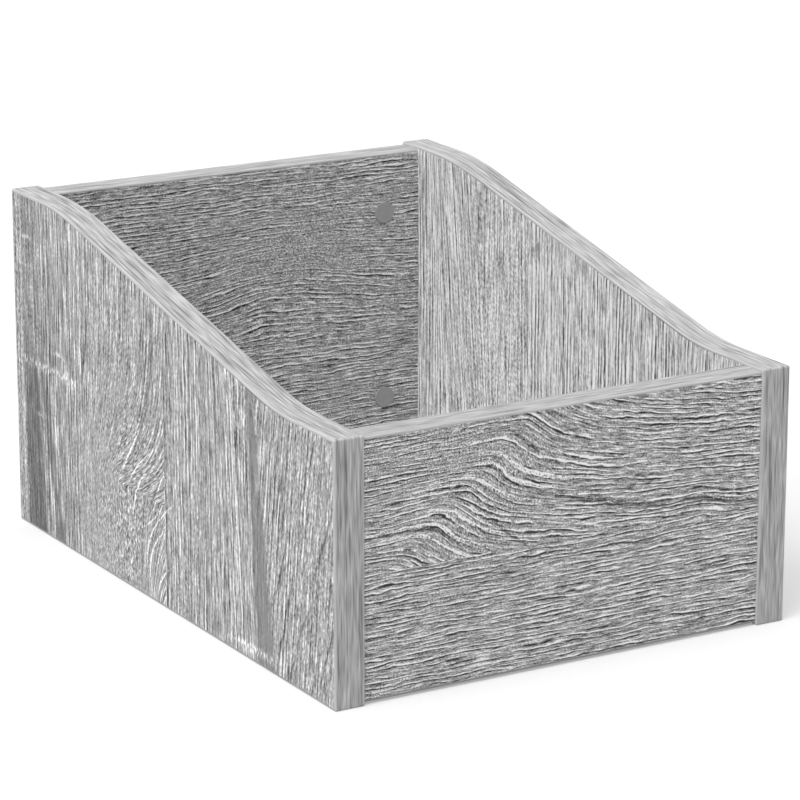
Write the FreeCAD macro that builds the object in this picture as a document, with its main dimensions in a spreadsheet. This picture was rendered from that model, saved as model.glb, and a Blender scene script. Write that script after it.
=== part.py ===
"""Open-topped storage box: five boards, their edge bands and the hidden connectors, in millimetres.

The frame has +Z up and the front at -Y. Its origin is on the floor, in the middle of the footprint.
"""
import FreeCAD, Part
import math
import os
from dataclasses import dataclass

import Sketcher

# The driving dimensions. Values whose names end in share are ratios, all others are lengths.
DIMENSIONS = {
    # the box as a whole
    "box_width": 395.0,
    "box_depth": 534.0,
    "front_height": 203.0,
    "back_height": 282.0,
    # the swept top edge of the sides, from front to back
    "front_flat": 60.0,
    "hollow_radius": 250.0,
    "crown_radius": 340.0,
    "back_flat": 45.0,
    # boards and edge bands
    "board_thickness": 25.0,
    "bottom_thickness": 18.0,
    "bottom_lift": 12.0,
    "panel_recess": 2.0,
    "panel_lift": 2.0,
    "panel_drop": 2.0,
    "band_thickness": 2.0,
    "band_round_share": 0.75,
    # cam fittings
    "cam_diameter": 15.0,
    "cam_floor": 0.75,
    "cam_sink": 0.2,
    "cam_set_back": 34.0,
    "thread_diameter": 5.0,
    "thread_length": 11.0,
    "collar_diameter": 7.0,
    "collar_length": 3.0,
    "shank_diameter": 4.5,
    "head_diameter": 6.5,
    "head_length": 4.0,
    "bolt_clearance": 0.5,
    "drive_length": 9.0,
    "drive_width": 2.4,
    "drive_depth": 3.0,
    "cap_diameter": 18.0,
    "cap_thickness": 1.2,
    # dowels
    "dowel_diameter": 8.0,
    "dowel_length": 35.0,
    "dowel_bite": 12.0,
    "dowel_chamfer": 1.0,
    # places of the connectors, along the boards that carry them
    "front_cam_low_share": 0.28,
    "front_cam_high_share": 0.78,
    "front_dowel_share": 0.53,
    "back_cam_low_share": 0.22,
    "back_cam_high_share": 0.82,
    "back_dowel_low_share": 0.42,
    "back_dowel_high_share": 0.62,
    "bottom_cam_share": 0.30,
    "bottom_dowel_share": 0.14,
    "bottom_end_dowel_share": 0.25,
    # fits and cuts
    "bore_clearance": 0.1,
    "end_clearance": 0.5,
    "overrun": 1.0,
}
SHEET_NAME = "sizes"
AXES = "xyz"
X, Y, Z = range(len(AXES))


@dataclass(frozen=True)
class Size:
    """A number together with the sheet expression that gives it."""

    number: float
    text: str

    def __add__(self, other: "Size") -> "Size":
        return Size(self.number + other.number, f"({self.text} + {other.text})")

    def __sub__(self, other: "Size") -> "Size":
        return Size(self.number - other.number, f"({self.text} - {other.text})")

    def __mul__(self, other: "Size") -> "Size":
        return Size(self.number * other.number, f"({self.text} * {other.text})")

    def __rmul__(self, factor: int) -> "Size":
        return Size(factor * self.number, f"({factor} * {self.text})")

    def __truediv__(self, divisor: int) -> "Size":
        return Size(self.number / divisor, f"({self.text} / {divisor})")

    def __neg__(self) -> "Size":
        return Size(-self.number, f"(-{self.text})")


@dataclass(frozen=True)
class Sizes:
    """The sheet's values by name."""

    values: dict

    def __getattr__(self, name: str) -> Size:
        return Size(self.values[name], f"{SHEET_NAME}.{name}")


@dataclass(frozen=True)
class Seat:
    """Where a connector crosses a joint: a point on the joint plane and the way into the held panel."""

    point: tuple
    way: tuple


s = Sizes(DIMENSIONS)
ZERO = Size(0.0, "0")

# sizes that follow from the driving ones
inner_width = s.box_width - 2 * s.board_thickness
inner_depth = s.box_depth - 2 * (s.panel_recess + s.board_thickness)
core_depth = s.box_depth - 2 * s.band_thickness
core_bottom = s.panel_lift + s.band_thickness
front_core_height = s.front_height - s.panel_drop - s.band_thickness - core_bottom
back_core_height = s.back_height - s.panel_drop - s.band_thickness - core_bottom
front_middle = -(inner_depth + s.board_thickness) / 2
back_middle = (inner_depth + s.board_thickness) / 2
bottom_middle = s.bottom_lift + s.bottom_thickness / 2
cam_pocket_diameter = s.head_diameter + 2 * s.bolt_clearance
cam_under_axis = cam_pocket_diameter / 2 + s.cam_floor

doc = FreeCAD.newDocument("storage_box")
nodes = {}


def fill_sheet():
    """Write the driving dimensions into the document's sheet."""
    sheet = doc.addObject("Spreadsheet::Sheet", SHEET_NAME)
    for row, (name, number) in enumerate(DIMENSIONS.items(), start=1):
        sheet.set(f"A{row}", name)
        sheet.set(f"B{row}", str(number))
        sheet.setAlias(f"B{row}", name)
    doc.recompute()


def node(item, label):
    """Name an object and keep it as one of the box's pieces."""
    item.Label = label
    nodes[label] = item


def place(item, point):
    """Bind an object's position to the sheet."""
    for axis, size in zip(AXES, point):
        item.setExpression(f"Placement.Base.{axis}", size.text)


def moved(point, way, distance):
    """A point shifted along one of the frame's axes."""
    return tuple(p if w == 0 else p + w * distance for p, w in zip(point, way))


def reverse(way):
    """The opposite way."""
    return tuple(-w for w in way)


# solids


def cylinder(name, diameter, length, start, way, end_diameter=None):
    """A round solid from a start point along an axis, or a cone if its far end differs."""
    turn = FreeCAD.Rotation(FreeCAD.Vector(0, 0, 1), FreeCAD.Vector(*way))
    solid = doc.addObject("Part::Cone" if end_diameter else "Part::Cylinder", name)
    if end_diameter:
        solid.setExpression("Radius1", (diameter / 2).text)
        solid.setExpression("Radius2", (end_diameter / 2).text)
    else:
        solid.setExpression("Radius", (diameter / 2).text)
    solid.setExpression("Height", length.text)
    solid.Placement = FreeCAD.Placement(FreeCAD.Vector(), turn)
    place(solid, start)
    return solid


def box(name, lengths, corner):
    """A rectangular solid from its lowest corner."""
    solid = doc.addObject("Part::Box", name)
    for side, length in zip(("Length", "Width", "Height"), lengths):
        solid.setExpression(side, length.text)
    place(solid, corner)
    return solid


def fuse(name, pieces):
    """One solid made of touching or crossing pieces."""
    whole = doc.addObject("Part::MultiFuse", name)
    whole.Shapes = pieces
    return whole


def cut(name, base, tools):
    """A solid with the tools taken out of it."""
    rest = doc.addObject("Part::Cut", name)
    rest.Base = base
    rest.Tool = fuse(f"{name}_tools", tools)
    return rest


def group(label, pieces):
    """Separate solids that are one node."""
    whole = doc.addObject("Part::Compound", label)
    whole.Links = pieces
    node(whole, label)


# sketches


def new_sketch(body, role, name):
    """A sketch on one of the body's own origin planes."""
    plane = next(item for item in body.Origin.OriginFeatures if item.Role == role)
    sketch = body.newObject("Sketcher::SketchObject", name)
    sketch.AttachmentSupport = [(plane, "")]
    sketch.MapMode = "FlatFace"
    return sketch


def dimension(sketch, kind, size, *where):
    """Add a dimension to a sketch and bind it to the sheet."""
    index = sketch.addConstraint(Sketcher.Constraint(kind, *where, size.number))
    sketch.setExpression(f"Constraints[{index}]", size.text)


def line(sketch, start, end):
    """Add a straight line between two points given as numbers."""
    return sketch.addGeometry(Part.LineSegment(FreeCAD.Vector(*start), FreeCAD.Vector(*end)))


def arc(sketch, centre, radius, first, last):
    """Add an arc that turns from the first angle to the last."""
    circle = Part.Circle(FreeCAD.Vector(*centre), FreeCAD.Vector(0, 0, 1), radius)
    return sketch.addGeometry(Part.ArcOfCircle(circle, first, last))


def join(sketch, first, first_end, second, second_end):
    """Make an end of one line meet an end of another."""
    sketch.addConstraint(Sketcher.Constraint("Coincident", first, first_end, second, second_end))


def rectangle(sketch, length, width):
    """A rectangle with its lowest corner on the sketch's origin."""
    corners = [(0, 0), (length.number, 0), (length.number, width.number), (0, width.number)]
    sides = [line(sketch, corners[i], corners[(i + 1) % len(corners)]) for i in range(len(corners))]
    for i, side in enumerate(sides):
        join(sketch, side, 2, sides[(i + 1) % len(sides)], 1)
        sketch.addConstraint(Sketcher.Constraint("Vertical" if i % 2 else "Horizontal", side))
    join(sketch, sides[0], 1, -1, 1)
    dimension(sketch, "DistanceX", length, sides[0], 1, sides[0], 2)
    dimension(sketch, "DistanceY", width, sides[1], 1, sides[1], 2)


def swept_edge(sketch, inset):
    """Add a side's top edge, from its front flat to its back flat, a given distance below the outside.

    Returns:
        The front flat and the back flat, whose outer ends are ends 1 and 2.
    """
    start, end = s.band_thickness, s.box_depth - s.band_thickness
    low, high = s.front_height - inset, s.back_height - inset
    hollow, crown = s.hollow_radius + inset, s.crown_radius - inset
    hollow_start, crown_end = s.front_flat, s.box_depth - s.back_flat

    # the slope that touches both arcs
    run = (crown_end - hollow_start).number
    both_radii = (hollow + crown).number
    fall = both_radii - (high - low).number
    slope = math.atan2(run, fall) - math.acos(both_radii / math.hypot(run, fall))

    front = line(sketch, (start.number, low.number), (hollow_start.number, low.number))
    hollow_centre = (hollow_start.number, (low + hollow).number)
    lower = arc(sketch, hollow_centre, hollow.number, -math.pi / 2, slope - math.pi / 2)
    crown_centre = (crown_end.number, (high - crown).number)
    upper = arc(sketch, crown_centre, crown.number, math.pi / 2, slope + math.pi / 2)
    foot = sketch.getPoint(lower, 2)
    head = sketch.getPoint(upper, 2)
    ramp = line(sketch, (foot.x, foot.y), (head.x, head.y))
    back = line(sketch, (crown_end.number, high.number), (end.number, high.number))

    for ends in ((front, 2, lower, 1), (lower, 2, ramp, 1), (ramp, 2, upper, 2), (upper, 1, back, 1)):
        sketch.addConstraint(Sketcher.Constraint("Tangent", *ends))
    for flat in (front, back):
        sketch.addConstraint(Sketcher.Constraint("Horizontal", flat))
    dimension(sketch, "Radius", hollow, lower)
    dimension(sketch, "Radius", crown, upper)
    dimension(sketch, "DistanceX", start, -1, 1, front, 1)
    dimension(sketch, "DistanceY", low, -1, 1, front, 1)
    dimension(sketch, "DistanceX", hollow_start, -1, 1, front, 2)
    dimension(sketch, "DistanceX", crown_end, -1, 1, back, 1)
    dimension(sketch, "DistanceX", end, -1, 1, back, 2)
    dimension(sketch, "DistanceY", high, -1, 1, back, 2)
    return front, back


def close_side(sketch, front, back):
    """Close a side's outline below its swept edge with the front, bottom and back lines."""
    start, end = sketch.getPoint(front, 1), sketch.getPoint(back, 2)
    bottom = s.band_thickness
    front_line = line(sketch, (start.x, bottom.number), (start.x, start.y))
    bottom_line = line(sketch, (start.x, bottom.number), (end.x, bottom.number))
    back_line = line(sketch, (end.x, bottom.number), (end.x, end.y))
    join(sketch, front_line, 2, front, 1)
    join(sketch, back_line, 2, back, 2)
    join(sketch, bottom_line, 1, front_line, 1)
    join(sketch, bottom_line, 2, back_line, 1)
    for upright in (front_line, back_line):
        sketch.addConstraint(Sketcher.Constraint("Vertical", upright))
    sketch.addConstraint(Sketcher.Constraint("Horizontal", bottom_line))
    dimension(sketch, "DistanceY", bottom, -1, 1, bottom_line, 1)


def pad(body, sketch, length):
    """Raise a sketch into a solid."""
    solid = body.newObject("PartDesign::Pad", "pad")
    solid.Profile = sketch
    solid.setExpression("Length", length.text)
    body.Tip = solid
    doc.recompute()
    return solid


def round_over(body, base, names):
    """Round the named edges of a band."""
    fillet = body.newObject("PartDesign::Fillet", "round_over")
    fillet.Base = (base, names)
    fillet.setExpression("Radius", (s.band_round_share * s.band_thickness).text)
    body.Tip = fillet


# boards


def side_board(name, corner):
    """A side panel's board before drilling."""
    body = doc.addObject("PartDesign::Body", name)
    sketch = new_sketch(body, "YZ_Plane", f"{name}_outline")
    close_side(sketch, *swept_edge(sketch, s.band_thickness))
    pad(body, sketch, s.board_thickness)
    place(body, corner)
    return body


def cross_board(name, height, middle):
    """The board of the front or back panel before drilling."""
    corner = (-inner_width / 2, middle - s.board_thickness / 2, core_bottom)
    return box(name, (inner_width, s.board_thickness, height), corner)


def bottom_board():
    """The bottom panel's board before drilling."""
    corner = (-inner_width / 2, -inner_depth / 2, s.bottom_lift)
    return box("bottom_board", (inner_width, inner_depth, s.bottom_thickness), corner)


# edge bands


def band_edges(shape, axis, outer, glued, run):
    """Names of the edges to round on a straight band.

    Args:
        shape: The band before rounding.
        axis: The axis through the band's thickness.
        outer: The outer face's place on that axis.
        glued: The glued face's place on that axis.
        run: The axis of the edges to round, or None for all edges that leave the glued face.
    """
    names = []
    for index, edge in enumerate(shape.Edges, start=1):
        ends = [vertex.Point[axis] for vertex in edge.Vertexes]
        free = [abs(end - outer) < abs(end - glued) for end in ends]
        extent = (edge.BoundBox.XLength, edge.BoundBox.YLength, edge.BoundBox.ZLength)
        along = run is not None and extent[run] == max(extent)
        if any(free) if run is None else all(free) and along:
            names.append(f"Edge{index}")
    return names


def straight_band(label, lengths, corner, axis, glued_high, run=None):
    """A straight edge band, rounded on its free side."""
    body = doc.addObject("PartDesign::Body", label)
    sketch = new_sketch(body, "XY_Plane", f"{label}_outline")
    rectangle(sketch, lengths[X], lengths[Y])
    blank = pad(body, sketch, lengths[Z])
    faces = (0, lengths[axis].number)
    outer, glued = faces if glued_high else reversed(faces)
    round_over(body, blank, band_edges(blank.Shape, axis, outer, glued, run))
    place(body, corner)
    node(body, label)


def swept_band(label, corner):
    """The edge band on a side's swept top edge."""
    body = doc.addObject("PartDesign::Body", label)
    sketch = new_sketch(body, "YZ_Plane", f"{label}_outline")
    outer_front, outer_back = swept_edge(sketch, ZERO)
    inner_front, inner_back = swept_edge(sketch, s.band_thickness)
    for outer, inner, end in ((outer_front, inner_front, 1), (outer_back, inner_back, 2)):
        top, foot = sketch.getPoint(outer, end), sketch.getPoint(inner, end)
        butt = line(sketch, (top.x, top.y), (foot.x, foot.y))
        join(sketch, butt, 1, outer, end)
        join(sketch, butt, 2, inner, end)
    blank = pad(body, sketch, s.board_thickness)
    depth = FreeCAD.Vector(0, 0, s.band_thickness.number / 2)
    names = []
    for index, edge in enumerate(blank.Shape.Edges, start=1):
        middle = edge.valueAt((edge.FirstParameter + edge.LastParameter) / 2)
        lengthwise = edge.BoundBox.YLength > edge.BoundBox.XLength
        inside = FreeCAD.Vector(s.board_thickness.number / 2, middle.y, middle.z) - depth
        if lengthwise and blank.Shape.isInside(inside, 0, False):
            names.append(f"Edge{index}")
    round_over(body, blank, names)
    place(body, corner)
    node(body, label)


def side_bands(side, x_corner):
    """The four edge bands of a side panel."""
    width, thick = s.board_thickness, s.band_thickness
    front_corner = (x_corner, -s.box_depth / 2, ZERO)
    back_corner = (x_corner, core_depth / 2, ZERO)
    bottom_corner = (x_corner, -core_depth / 2, ZERO)
    straight_band(f"{side}_side_front_band", (width, thick, s.front_height), front_corner, Y, True)
    straight_band(f"{side}_side_back_band", (width, thick, s.back_height), back_corner, Y, False)
    straight_band(f"{side}_side_bottom_band", (width, core_depth, thick), bottom_corner, Z, True, run=Y)
    swept_band(f"{side}_side_top_band", front_corner)


def cross_bands(panel, height, middle):
    """The top and bottom edge bands of the front or back panel."""
    lengths = (inner_width, s.board_thickness, s.band_thickness)
    corner = (-inner_width / 2, middle - s.board_thickness / 2, s.panel_lift)
    straight_band(f"{panel}_bottom_band", lengths, corner, Z, True, run=X)
    top_corner = moved(corner, (0, 0, 1), s.band_thickness + height)
    straight_band(f"{panel}_top_band", lengths, top_corner, Z, False, run=X)


# connectors


def side_seats(places):
    """Seats on both side joints, at each of the given Y and Z places."""
    seats = []
    for hand in (-1, 1):
        for y_place, z_place in places:
            seats.append(Seat((hand * inner_width / 2, y_place, z_place), (-hand, 0, 0)))
    return seats


def bottom_end_seats():
    """Seats on the joints between the bottom panel and the front and back panels."""
    seats = []
    for end in (-1, 1):
        for hand in (-1, 1):
            x_place = hand * (s.bottom_end_dowel_share * inner_width)
            seats.append(Seat((x_place, end * inner_depth / 2, bottom_middle), (0, -end, 0)))
    return seats


def bore(name, seat, way, diameter, depth):
    """A drill that enters a board at the joint plane."""
    start = moved(seat.point, way, -s.overrun)
    return cylinder(name, diameter, depth + s.overrun, start, way)


def thread_bore(name, seat):
    """The hole for a cam bolt's thread in the board outside the joint."""
    diameter = s.thread_diameter + 2 * s.bore_clearance
    return bore(name, seat, reverse(seat.way), diameter, s.thread_length + s.end_clearance)


def dowel_bores(name, seat):
    """The holes for a dowel: the one outside the joint and the one in the held panel."""
    diameter = s.dowel_diameter + 2 * s.bore_clearance
    outside_depth = s.dowel_bite + s.end_clearance
    inside_depth = s.dowel_length - s.dowel_bite + s.end_clearance
    outside = bore(f"{name}_outside", seat, reverse(seat.way), diameter, outside_depth)
    inside = bore(f"{name}_inside", seat, seat.way, diameter, inside_depth)
    return outside, inside


def cam_bores(name, seat, thickness, outward):
    """The holes for a cam bolt's shank and for its cam disc in the held panel."""
    shank_diameter = s.collar_diameter + 2 * s.bolt_clearance
    shank = bore(f"{name}_shank", seat, seat.way, shank_diameter, s.cam_set_back)
    start = cam_foot(seat, outward)
    diameter = s.cam_diameter + 2 * s.bore_clearance
    disc = cylinder(f"{name}_disc", diameter, cam_under_axis + thickness / 2 + s.overrun, start, outward)
    return [shank, disc]


def cam_foot(seat, outward):
    """The middle of the floor of a cam disc's hole."""
    axis = moved(seat.point, seat.way, s.cam_set_back)
    return moved(axis, outward, -cam_under_axis)


def cam_bolt(name, seat):
    """A cam bolt: thread, collar, shank and head in a row across the joint."""
    head_start = s.cam_set_back - s.head_length / 2
    stretches = (
        ("thread", s.thread_diameter, -s.thread_length, s.thread_length),
        ("collar", s.collar_diameter, ZERO, s.collar_length),
        ("shank", s.shank_diameter, s.collar_length, head_start - s.collar_length),
        ("head", s.head_diameter, head_start, s.head_length),
    )
    pieces = []
    for part, diameter, offset, length in stretches:
        start = moved(seat.point, seat.way, offset)
        pieces.append(cylinder(f"{name}_{part}", diameter, length, start, seat.way))
    return fuse(name, pieces)


def driver_cross(name, face_point, outward, slack, top, depth):
    """Two crossed bars in the face of a cam, from a height above the panel's face to a depth below it."""
    arm, bar = s.drive_length - 2 * slack, s.drive_width - 2 * slack
    out_axis = next(axis for axis in (X, Y, Z) if outward[axis])
    flat_axes = [axis for axis in (X, Y, Z) if axis != out_axis]
    middle = moved(face_point, outward, (top - depth) / 2)
    bars = []
    for long_axis in flat_axes:
        lengths = [bar, bar, bar]
        lengths[long_axis] = arm
        lengths[out_axis] = top + depth
        corner = tuple(place_on_axis - length / 2 for place_on_axis, length in zip(middle, lengths))
        bars.append(box(f"{name}_bar_{long_axis}", lengths, corner))
    return bars


def cam_face(seat, thickness, outward):
    """The point of a panel's face over the middle of a cam disc."""
    return moved(moved(seat.point, seat.way, s.cam_set_back), outward, thickness / 2)


def cam_disc(name, seat, thickness, outward):
    """A cam disc with the pocket that grips its bolt and a crossed driver recess."""
    height = cam_under_axis + thickness / 2 - s.cam_sink
    disc = cylinder(f"{name}_disc", s.cam_diameter, height, cam_foot(seat, outward), outward)
    rim = s.cam_diameter / 2 + s.overrun
    pocket_start = moved(seat.point, seat.way, s.cam_set_back - rim)
    pocket_length = rim + s.head_length / 2 + s.end_clearance
    pocket = cylinder(f"{name}_pocket", cam_pocket_diameter, pocket_length, pocket_start, seat.way)
    face = cam_face(seat, thickness, outward)
    recess = driver_cross(f"{name}_recess", face, outward, ZERO, s.overrun, s.drive_depth)
    return cut(name, disc, [pocket, *recess])


def cam_cap(name, seat, thickness, outward):
    """A cover cap on the panel's face, held by a crossed plug in the cam's recess."""
    face = cam_face(seat, thickness, outward)
    flange = cylinder(f"{name}_flange", s.cap_diameter, s.cap_thickness, face, outward)
    plug_depth = s.drive_depth - s.end_clearance
    plug = driver_cross(f"{name}_plug", face, outward, s.bore_clearance, s.cap_thickness / 2, plug_depth)
    return fuse(name, [flange, *plug])


def dowel(name, seat):
    """A dowel across a joint, chamfered at both ends."""
    tip = s.dowel_diameter - 2 * s.dowel_chamfer
    start = moved(seat.point, seat.way, -s.dowel_bite)
    body_start = moved(start, seat.way, s.dowel_chamfer)
    body_length = s.dowel_length - 2 * s.dowel_chamfer
    far_start = moved(body_start, seat.way, body_length)
    near = cylinder(f"{name}_near", tip, s.dowel_chamfer, start, seat.way, s.dowel_diameter)
    body = cylinder(f"{name}_body", s.dowel_diameter, body_length, body_start, seat.way)
    far = cylinder(f"{name}_far", s.dowel_diameter, s.dowel_chamfer, far_start, seat.way, tip)
    return fuse(name, [near, body, far])


@dataclass(frozen=True)
class Panel:
    """A panel held between the sides: its thickness, the way its cams face and its connectors."""

    name: str
    thickness: Size
    cams_face: tuple
    bolt_seats: list
    dowel_seats: list
    capped: bool


def upright_places(middle, height, shares):
    """Y and Z places up the end of the front or back panel."""
    return [(middle, core_bottom + share * height) for share in shares]


def flat_places(share):
    """Y and Z places along a side of the bottom panel, before and behind the middle."""
    return [(end * (share * inner_depth), bottom_middle) for end in (-1, 1)]


def held_panels():
    """The three panels that are held between the sides."""
    front_cams = (s.front_cam_low_share, s.front_cam_high_share)
    back_cams = (s.back_cam_low_share, s.back_cam_high_share)
    back_dowels = (s.back_dowel_low_share, s.back_dowel_high_share)
    front = Panel(
        "front_panel", s.board_thickness, (0, 1, 0),
        side_seats(upright_places(front_middle, front_core_height, front_cams)),
        side_seats(upright_places(front_middle, front_core_height, (s.front_dowel_share,))),
        True,
    )
    back = Panel(
        "back_panel", s.board_thickness, (0, -1, 0),
        side_seats(upright_places(back_middle, back_core_height, back_cams)),
        side_seats(upright_places(back_middle, back_core_height, back_dowels)),
        True,
    )
    bottom = Panel(
        "bottom_panel", s.bottom_thickness, (0, 0, -1),
        side_seats(flat_places(s.bottom_cam_share)),
        side_seats(flat_places(s.bottom_dowel_share)),
        False,
    )
    return front, back, bottom


def board_outside(seat):
    """The name of the panel that a connector enters on the outer side of its joint."""
    names = {(1, 0, 0): "left_side_panel", (-1, 0, 0): "right_side_panel",
             (0, 1, 0): "front_panel", (0, -1, 0): "back_panel"}
    return names[seat.way]


def build_connectors():
    """Make every connector.

    Returns:
        The drills for each panel, by the panel's name.
    """
    drills = {name: [] for name in ("left_side_panel", "right_side_panel")}
    panels = held_panels()
    drills.update({panel.name: [] for panel in panels})
    for panel in panels:
        bolts, discs, caps, dowels = [], [], [], []
        for index, seat in enumerate(panel.bolt_seats):
            name = f"{panel.name}_cam_{index}"
            drills[board_outside(seat)].append(thread_bore(f"{name}_thread_bore", seat))
            drills[panel.name] += cam_bores(f"{name}_bore", seat, panel.thickness, panel.cams_face)
            bolts.append(cam_bolt(f"{name}_bolt", seat))
            discs.append(cam_disc(f"{name}_disc", seat, panel.thickness, panel.cams_face))
            if panel.capped:
                caps.append(cam_cap(f"{name}_cap", seat, panel.thickness, panel.cams_face))
        for index, seat in enumerate(panel.dowel_seats):
            dowels.append(fit_dowel(f"{panel.name}_dowel_{index}", seat, panel.name, drills))
        group(f"{panel.name}_cam_bolts", bolts)
        group(f"{panel.name}_cam_discs", discs)
        if caps:
            group(f"{panel.name}_cam_caps", caps)
        group(f"{panel.name}_dowels", dowels)
    end_dowels = []
    for index, seat in enumerate(bottom_end_seats()):
        end_dowels.append(fit_dowel(f"bottom_end_dowel_{index}", seat, "bottom_panel", drills))
    group("bottom_panel_end_dowels", end_dowels)
    return drills


def fit_dowel(name, seat, panel_name, drills):
    """Make a dowel and its two holes."""
    outside, inside = dowel_bores(f"{name}_bore", seat)
    drills[board_outside(seat)].append(outside)
    drills[panel_name].append(inside)
    return dowel(name, seat)


def build():
    """Make every piece of the box."""
    fill_sheet()
    side_corners = {"left": -s.box_width / 2, "right": s.box_width / 2 - s.board_thickness}
    boards = {}
    for side, x_corner in side_corners.items():
        boards[f"{side}_side_panel"] = side_board(f"{side}_board", (x_corner, -s.box_depth / 2, ZERO))
        side_bands(side, x_corner)
    uprights = (("front", front_core_height, front_middle), ("back", back_core_height, back_middle))
    for name, height, middle in uprights:
        boards[f"{name}_panel"] = cross_board(f"{name}_board", height, middle)
        cross_bands(f"{name}_panel", height, middle)
    boards["bottom_panel"] = bottom_board()
    for name, drills in build_connectors().items():
        node(cut(name, boards[name], drills), name)
    doc.recompute()
    for name, board in boards.items():
        if nodes[name].Shape.Volume >= board.Shape.Volume:
            raise RuntimeError(f"the drills missed {name}")


def check():
    """Stop if any object failed or any piece is empty or broken."""
    for item in doc.Objects:
        if "Invalid" in item.State or "Error" in item.State:
            raise RuntimeError(f"{item.Name} failed: {item.State}")
    for label, item in nodes.items():
        if item.Shape.isNull() or not item.Shape.isValid():
            raise RuntimeError(f"{label} has no valid shape")


def write():
    """Write each piece to a file named after it."""
    os.makedirs("parts", exist_ok=True)
    for label, item in nodes.items():
        shape = item.Shape
        print(f"{label}: {len(shape.Solids)} solids, {shape.Volume:.0f} cubic mm")
        shape.exportStep(f"parts/{label}.step")


build()
check()
write()
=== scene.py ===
"""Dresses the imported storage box: its edge bands, wood finishes, fittings, light and camera."""

import logging
import math
from dataclasses import dataclass, replace
from enum import Enum
from typing import Any, Mapping

import bpy
import numpy as np
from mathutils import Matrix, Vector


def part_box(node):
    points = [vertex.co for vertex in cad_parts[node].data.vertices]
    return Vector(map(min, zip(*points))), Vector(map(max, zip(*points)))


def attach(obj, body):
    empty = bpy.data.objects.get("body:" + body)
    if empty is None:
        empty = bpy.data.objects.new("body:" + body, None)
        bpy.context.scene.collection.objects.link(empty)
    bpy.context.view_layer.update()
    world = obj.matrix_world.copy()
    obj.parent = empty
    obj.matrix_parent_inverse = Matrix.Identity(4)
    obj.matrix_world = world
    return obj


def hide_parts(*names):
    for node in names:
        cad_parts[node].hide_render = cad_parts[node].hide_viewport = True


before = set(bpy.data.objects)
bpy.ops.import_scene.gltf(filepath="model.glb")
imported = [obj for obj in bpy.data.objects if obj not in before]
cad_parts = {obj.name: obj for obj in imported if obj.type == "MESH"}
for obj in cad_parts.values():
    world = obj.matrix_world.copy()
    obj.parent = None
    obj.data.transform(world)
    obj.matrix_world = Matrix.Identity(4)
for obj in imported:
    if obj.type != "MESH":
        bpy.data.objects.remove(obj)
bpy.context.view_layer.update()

LOG = logging.getLogger("storage_box")
BODY = "root"
MILLIMETRES = 1000.0
DISPLAY_POWER = 2.2
STRIP_MAP = "strip"
SHARP_ANGLE = math.radians(40.0)
WHITE = (1.0, 1.0, 1.0, 1.0)


# shader arithmetic


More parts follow.
